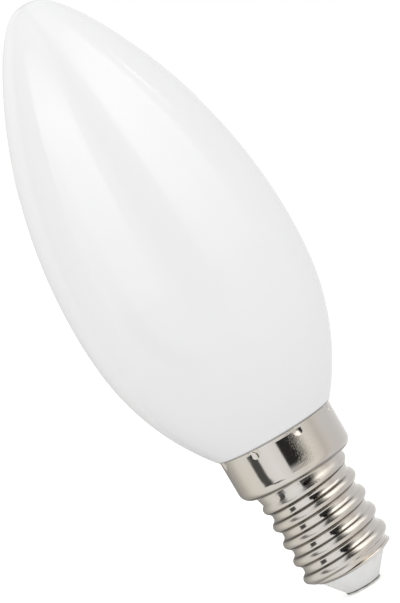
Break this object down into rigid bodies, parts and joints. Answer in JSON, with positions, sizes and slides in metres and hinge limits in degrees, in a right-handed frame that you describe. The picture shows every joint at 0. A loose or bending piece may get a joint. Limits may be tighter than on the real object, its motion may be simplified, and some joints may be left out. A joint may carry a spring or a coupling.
{
  "type": "led candle light bulb",
  "caption": "Candle-shaped LED light bulb with an opal glass envelope and a small nickel-plated Edison screw cap, insulator and centre contact.",
  "frame": {"origin": "centre of the centre contact's end face, the end of the cap that goes deepest into a holder", "axes": "+Z along the lamp's axis from the centre contact to the tip of the glass, +X at the side where the thread's crest is 6.23 mm above the origin"},
  "size_m": [0.034, 0.034, 0.0936],
  "materials": {
    "opal_glass": "opal white, glossy",
    "nickel_plate": "bright nickel plate",
    "white_insulator": "matt, moulded",
    "contact_metal": "satin"
  },
  "bodies": {
    "root": {"opal_bulb": "opal_glass", "screw_shell": "nickel_plate", "insulator": "white_insulator", "centre_contact": "contact_metal"}
  },
  "joints": []
}
